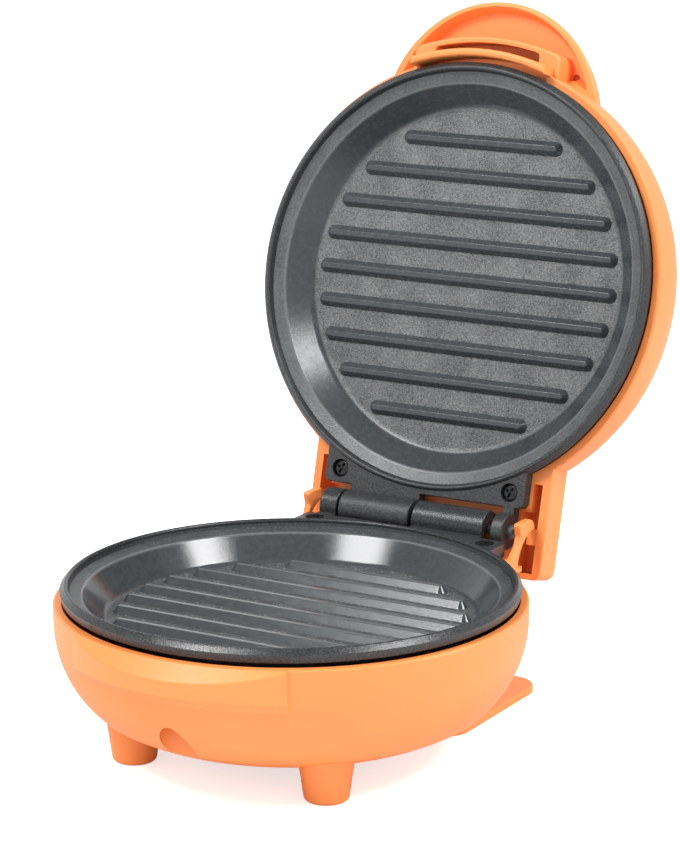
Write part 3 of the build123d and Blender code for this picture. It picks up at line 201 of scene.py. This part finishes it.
def coat_plate(node, middle, outward, dark, pale, metal, gloss, matt, fleck_and_glint, crest_highlight):
    """The coat of a plate whose bead lies round that middle and whose back faces outward.

    The floor's grains go from dark to pale, with that share of metal, and its roughness goes
    from gloss on the smooth parts to matt. The last two are the shares of the flecks on the
    floor, which are partly silver flecks and partly painted glints, and of the painted
    highlight on the ribs' crests.
    """
    coat, shader, place = new_finish(f"nonstick_casting_{node.split('_')[0]}")

    facing = dot(coat, place.node.outputs["Normal"], -outward)
    depth = combine(coat, "SUBTRACT", dot(coat, place, outward), middle.dot(outward))
    arm = vector_node(coat, "SUBTRACT", place, middle).outputs["Vector"]
    swept = vector_node(coat, "CROSS_PRODUCT", arm, outward).outputs["Vector"]
    reach = vector_node(coat, "LENGTH", swept).outputs["Value"]

    flat = between(coat, facing, 0.0, 1.0, *level_faces)
    floor = between(coat, depth, 0.0, 1.0, *floor_starts)
    ledge = between(coat, depth, ledge_share, 0.0, *ledge_ends)
    outside = between(coat, reach, 0.0, 1.0, *bead_starts)
    grainy = times(coat, flat, combine(coat, "MAXIMUM", floor, ledge))
    grainy = times(coat, grainy, between(coat, outside, 1.0, outer_share))
    # Painted highlight: a thin lighter ring along the ledge's corner.
    past_corner = between(coat, reach, 0.0, 1.0, *corner_starts)
    corner_highlight_ring = times(coat, past_corner, between(coat, reach, 1.0, 0.0, *corner_ends))
    # Painted highlight: a lighter line along the ribs' crests.
    crest_highlight_mask = times(coat, flat, between(coat, depth, 0.0, 1.0, *crest_starts))
    crest_highlight_mask = times(coat, crest_highlight_mask, between(coat, depth, 1.0, 0.0, *crest_ends))

    fine = grain(coat, place, fine_size, detail=3.0)
    broad = grain(coat, place, broad_size, detail=3.0)
    mist = grain(coat, place, mist_size)
    spot_inputs = {"Vector": place, "Scale": 1.0 / fleck_size}
    spots = add_node(coat.node_tree, "ShaderNodeTexVoronoi", spot_inputs).outputs["Distance"]
    # Flecks, partly silver flecks and partly painted glints.
    glint = between(coat, spots, 1.0, 0.0, *fleck_edge)
    clumps = combine(coat, "ADD", fine, between(coat, broad, -broad_sway, broad_sway, *noise_core))

    silver = two_colours(coat, clumps, dark, pale, *silver_range)
    silver = blend(coat, times(coat, glint, fleck_and_glint), silver, fleck_and_glint_on_silver)
    cast = two_colours(coat, fine, cast_dark, cast_pale, *cast_range)
    smooth = two_colours(coat, mist, smooth_dark, smooth_pale, *noise_core)
    smooth = blend(coat, outside, smooth, cast)
    smooth = blend(coat, times(coat, glint, smooth_fleck_and_glint), smooth, fleck_and_glint_on_smooth)
    # Painted highlight on the ribs' crests.
    smooth = blend(coat, times(coat, crest_highlight_mask, crest_highlight), smooth, crest_highlight_colour)
    sprayed = blend(coat, grainy, smooth, silver)
    # Painted highlight on the ledge's corner.
    join(coat, blend(coat, times(coat, corner_highlight_ring, corner_highlight_share), sprayed, corner_highlight_colour), shader, "Base Color")
    join(coat, between(coat, grainy, 0.0, metal), shader, "Metallic")

    misted = between(coat, mist, 0.0, mist_roughness, *noise_core)
    rough = combine(coat, "ADD", between(coat, grainy, gloss, matt), misted)
    rough = combine(coat, "ADD", rough, times(coat, outside, outer_roughness))
    join(coat, rough, shader, "Roughness")

    pebble = between(coat, grainy, smooth_pebble, 1.0)
    pebble = combine(coat, "MAXIMUM", pebble, times(coat, outside, outer_pebble))
    join(coat, relief(coat, times(coat, fine, pebble), coat_depth), shader, "Normal")
    wear(node, coat)


# The two plates wear one coat. The base's grain colours are set darker than the lid's: painted shade on
# the base plate and painted light on the lid plate.
coat_plate(
    "base_plate",
    middle=plate_middle,
    outward=Vector((0.0, 0.0, -1.0)),
    dark=(0.012, 0.013, 0.014),
    pale=(0.13, 0.134, 0.138),
    metal=0.0,
    gloss=0.09,
    matt=0.66,
    fleck_and_glint=0.75,
    crest_highlight=0.55,
)
swing = Matrix.Rotation(-opening, 3, "X")
shut_middle = Vector((0.0, plate_middle.y, 2 * hinge_axis.z - plate_middle.z))
coat_plate(
    "lid_plate",
    middle=hinge_axis + swing @ (shut_middle - hinge_axis),
    outward=swing @ Vector((0.0, 0.0, 1.0)),
    dark=(0.070, 0.073, 0.075),
    pale=(0.26, 0.265, 0.265),
    metal=0.28,
    gloss=0.24,
    matt=0.36,
    fleck_and_glint=0.12,
    crest_highlight=0.05,
)


# Self-tapping screws of black oxide steel with cross heads hold the plates to the mouldings:
# two in the corners of each flange and one opposite the hinge.
def mottled(name, dark, pale, blotch, rough, pit, metal=0.0):
    """A finish whose colour varies in blotches and whose roughness varies in pits."""
    material, shader, place = new_finish(name)
    join(material, two_colours(material, grain(material, place, blotch), dark, pale), shader, "Base Color")
    join(material, between(material, grain(material, place, pit), *rough), shader, "Roughness")
    shader.inputs["Metallic"].default_value = metal
    return material


oxide = mottled(
    "black_screw",
    dark=(0.016, 0.016, 0.017),
    pale=(0.036, 0.036, 0.038),
    blotch=0.0006,
    rough=(0.20, 0.32),
    pit=0.0004,
    metal=0.3,
)
for half in ("base", "lid"):
    wear(f"{half}_plate_screws", oxide)
    wear(f"{half}_front_screw", oxide)


# The small clips, brackets and screws inside, and the pin's retaining ring, are
# zinc-plated steel.
zinc = mottled(
    "plated_steel",
    dark=(0.50, 0.50, 0.48),
    pale=(0.66, 0.66, 0.64),
    blotch=0.002,
    rough=(0.28, 0.42),
    pit=0.001,
    metal=1.0,
)
for node in (
    "base_element_clips", "lid_element_clips", "base_clip_screws", "lid_clip_screws",
    "base_shield_screws", "lid_shield_screws", "thermostat_bracket", "thermostat_screws",
    "fuse_clip", "fuse_clip_screw", "terminal_screws", "terminal_block_screws", "hinge_pin_ring",
):
    wear(node, zinc)


# The hinge pin is a steel rod with a domed head, pushed through the knuckles of both plates.
# It is nearly as dark as their coat.
pin = mottled(
    "pin_steel",
    dark=(0.085, 0.09, 0.095),
    pale=(0.13, 0.135, 0.14),
    blotch=0.001,
    rough=(0.35, 0.50),
    pit=0.0008,
    metal=0.5,
)
wear("hinge_pin", pin)


# The heating elements are steel tubes packed with powder round a wire, browned by heat.
sheath = mottled(
    "element_sheath",
    dark=(0.16, 0.14, 0.12),
    pale=(0.30, 0.29, 0.28),
    blotch=0.006,
    rough=(0.35, 0.60),
    pit=0.001,
    metal=1.0,
)
for half in ("base", "lid"):
    wear(f"{half}_heating_element", sheath)


# The ends of the elements and the terminal block are pressed and fired ceramic, unglazed.
ceramic = mottled(
    "ceramic_white",
    dark=(0.78, 0.75, 0.67),
    pale=(0.88, 0.86, 0.80),
    blotch=0.002,
    rough=(0.55, 0.75),
    pit=0.0005,
)
for node in ("base_element_terminals", "lid_element_terminals", "terminal_block"):
    wear(node, ceramic)


# The heat shields are trays pressed from aluminised sheet, screwed to posts under the
# elements.
sheet = mottled(
    "aluminised_sheet",
    dark=(0.62, 0.62, 0.61),
    pale=(0.76, 0.76, 0.75),
    blotch=0.004,
    rough=(0.25, 0.40),
    pit=0.002,
    metal=1.0,
)
for half in ("base", "lid"):
    wear(f"{half}_heat_shield", sheet)


# The thermostat's body is black phenolic, moulded and pressed to the base plate by its
# bracket.
phenolic = mottled(
    "black_phenolic",
    dark=(0.028, 0.026, 0.025),
    pale=(0.042, 0.040, 0.039),
    blotch=0.0012,
    rough=(0.35, 0.55),
    pit=0.0006,
)
wear("thermostat", phenolic)


# The bush of the cord inlet is moulded black rubber, pulled into the bowl's back wall.
skin_size = 0.0005
skin_depth = 0.00003

rubber = mottled(
    "inlet_rubber",
    dark=(0.022, 0.022, 0.022),
    pale=(0.036, 0.036, 0.036),
    blotch=0.002,
    rough=(0.60, 0.80),
    pit=0.0006,
)
shader = rubber.node_tree.nodes["Principled BSDF"]
skin_place = add_node(rubber.node_tree, "ShaderNodeTexCoord").outputs["Object"]
join(rubber, relief(rubber, grain(rubber, skin_place, skin_size), skin_depth), shader, "Normal")
wear("cord_inlet_bush", rubber)


# The pilot lamp in the lid has a moulded red lens, a nylon holder that clips in behind it,
# and a small neon lamp of glass.
def clouded(name, dark, pale, blotch, rough, clear=0.0):
    """A finish of even roughness whose colour varies a little in blotches. Clear is the share
    of light that passes through.
    """
    material, shader, place = new_finish(name)
    join(material, two_colours(material, grain(material, place, blotch), dark, pale), shader, "Base Color")
    shader.inputs["Roughness"].default_value = rough
    shader.inputs["Transmission Weight"].default_value = clear
    return material


red = clouded(
    "lens_red",
    dark=(0.60, 0.035, 0.015),
    pale=(0.70, 0.055, 0.022),
    blotch=0.003,
    rough=0.12,
    clear=0.35,
)
wear("indicator_lens", red)
nylon = clouded(
    "holder_nylon",
    dark=(0.74, 0.72, 0.66),
    pale=(0.84, 0.82, 0.76),
    blotch=0.002,
    rough=0.45,
)
wear("lamp_holder", nylon)
glass = clouded(
    "lamp_glass",
    dark=(0.95, 0.75, 0.62),
    pale=(0.98, 0.85, 0.75),
    blotch=0.002,
    rough=0.05,
    clear=0.80,
)
wear("neon_lamp", glass)


# The thermal fuse lies on the casting in a woven sleeve of glass fibre. A small plated strap
# holds it there.
weave_step = 0.0005
sleeve_shade = (0.72, 0.68, 0.56)
sleeve_light = (0.86, 0.83, 0.74)
sleeve_roughness = 0.85

sleeve, shader, place = new_finish("sleeve_fabric")
weave_inputs = {"Vector": place, "Scale": 1.0 / weave_step}
weave = add_node(sleeve.node_tree, "ShaderNodeTexChecker", weave_inputs).outputs["Fac"]
join(sleeve, two_colours(sleeve, weave, sleeve_shade, sleeve_light), shader, "Base Color")
shader.inputs["Roughness"].default_value = sleeve_roughness
wear("thermal_fuse", sleeve)


# The wires in the bowl and to the lamp are stranded copper in extruded black silicone, which
# stands the heat of the plates.
silicone = mottled(
    "wire_black",
    dark=(0.03, 0.03, 0.034),
    pale=(0.05, 0.05, 0.055),
    blotch=0.001,
    rough=(0.45, 0.60),
    pit=0.0006,
)
for node in ("base_element_wires", "control_wires", "lamp_wires"):
    wear(node, silicone)


# The two leads to the lid are the same silicone wire. They pass below the hinge, where they
# bend as the lid turns, so the tubes are divided finely all along their length.
longest_edge = 0.0015
same_place = 0.000002
halvings = 5

leads_mesh = bmesh.new()
leads_mesh.from_mesh(nodes["hinge_leads"].data)
bmesh.ops.remove_doubles(leads_mesh, verts=leads_mesh.verts, dist=same_place)
for _ in range(halvings):
    long_edges = [edge for edge in leads_mesh.edges if edge.calc_length() > longest_edge]
    if long_edges:
        bmesh.ops.subdivide_edges(leads_mesh, edges=long_edges, cuts=1)
        bmesh.ops.triangulate(leads_mesh, faces=leads_mesh.faces)
for face in leads_mesh.faces:
    face.smooth = True
leads_data = bpy.data.meshes.new("hinge_leads_bending")
leads_mesh.to_mesh(leads_data)
leads_mesh.free()
leads_data.materials.append(silicone)
leads = bpy.data.objects.new("hinge_leads_bending", leads_data)
bpy.context.scene.collection.objects.link(leads)
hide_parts("hinge_leads")
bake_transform(leads)


# The studio's floor is white paper. Seen by the camera it glows a little, which makes it as
# white as the surroundings and keeps the object's shadow.
floor_size = 8.0
paper_white = (0.86, 0.86, 0.86, 1.0)
paper_glow = (1.0, 0.99, 0.98, 1.0)
glow_strength = 0.65

bpy.ops.mesh.primitive_plane_add(size=floor_size)
floor = bpy.context.object
floor.name = "studio_floor"
paper, shader, place = new_finish("white_paper")
shader.inputs["Base Color"].default_value = paper_white
shader.inputs["Roughness"].default_value = 1.0
shader.inputs["Specular IOR Level"].default_value = 0.0
seen = add_node(paper.node_tree, "ShaderNodeLightPath").outputs["Is Camera Ray"]
glow_inputs = {"Color": paper_glow, "Strength": between(paper, seen, 0.0, glow_strength)}
glow = add_node(paper.node_tree, "ShaderNodeEmission", glow_inputs)
both_inputs = {0: shader.outputs["BSDF"], 1: glow.outputs["Emission"]}
both = add_node(paper.node_tree, "ShaderNodeAddShader", both_inputs)
join(paper, both.outputs["Shader"], paper.node_tree.nodes["Material Output"], "Surface")
floor.data.materials.append(paper)


# The surroundings are white to the camera and through glass. They light the object from the
# sides more than from the ceiling, which is what the plates' dark walls mirror.
side_light = 1.15
ceiling_light = 0.50
ceiling_height = 0.75            # upward part of a direction from which on it is all ceiling

world = bpy.data.worlds.new("studio")
bpy.context.scene.world = world
world.use_nodes = True
air = world.node_tree
direction = add_node(air, "ShaderNodeTexCoord").outputs["Generated"]
upward = add_node(air, "ShaderNodeSeparateXYZ", {"Vector": direction}).outputs["Z"]
fall_inputs = {"Value": upward, "From Max": ceiling_height, "To Min": side_light, "To Max": ceiling_light}
fall = add_node(air, "ShaderNodeMapRange", fall_inputs).outputs["Result"]
path = add_node(air, "ShaderNodeLightPath")
seen_inputs = {0: path.outputs["Is Camera Ray"], 1: path.outputs["Is Transmission Ray"]}
seen = add_node(air, "ShaderNodeMath", seen_inputs, operation="MAXIMUM").outputs["Value"]
level_inputs = {"Value": seen, "To Min": fall, "To Max": 1.0}
level = add_node(air, "ShaderNodeMapRange", level_inputs).outputs["Result"]
surround = air.nodes["Background"]
surround.inputs["Color"].default_value = (1.0, 1.0, 1.0, 1.0)
air.links.new(level, surround.inputs["Strength"])


# Two soft boxes hang over the front left and the right. They make the two bright patches on
# the base plate's back wall.
lamp_target = Vector((0.0, 0.0, 0.08))
lamp_watts = 9.5


def soft_box(name, place, size):
    """A square area lamp that faces the target."""
    lamp = bpy.data.lights.new(name, "AREA")
    lamp.shape = "SQUARE"
    lamp.size = size
    lamp.energy = lamp_watts
    holder = bpy.data.objects.new(name, lamp)
    bpy.context.scene.collection.objects.link(holder)
    aim = (lamp_target - Vector(place)).to_track_quat("-Z", "Y")
    holder.matrix_world = Matrix.Translation(place) @ aim.to_matrix().to_4x4()


soft_box("soft_box_left", place=(-0.33, -0.62, 1.02), size=0.40)
soft_box("soft_box_right", place=(0.80, 0.085, 0.94), size=0.38)


# The camera stands in front and to the right, a little above the lid's middle, with a long
# lens. Its azimuth and elevation are those of its back, seen from the object.
camera_place = (0.4170, -0.7171, 0.2863)
azimuth = radians(30.447)
elevation = radians(14.035)
roll = radians(-0.089)

view = bpy.data.cameras.new("photo_camera")
view.sensor_fit = "VERTICAL"
view.sensor_height = 36.0
view.lens = 131.3
view.clip_start = 0.05
view.clip_end = 20.0
camera = bpy.data.objects.new("photo_camera", view)
bpy.context.scene.collection.objects.link(camera)
right = Vector((cos(azimuth), sin(azimuth), 0.0))
back = Vector((sin(azimuth) * cos(elevation), -cos(azimuth) * cos(elevation), sin(elevation)))
up = back.cross(right)
turn = Matrix((right, up, back)).transposed().to_4x4() @ Matrix.Rotation(roll, 4, "Z")
camera.matrix_world = Matrix.Translation(camera_place) @ turn
bpy.context.scene.camera = camera
bpy.context.scene.view_settings.view_transform = "Standard"
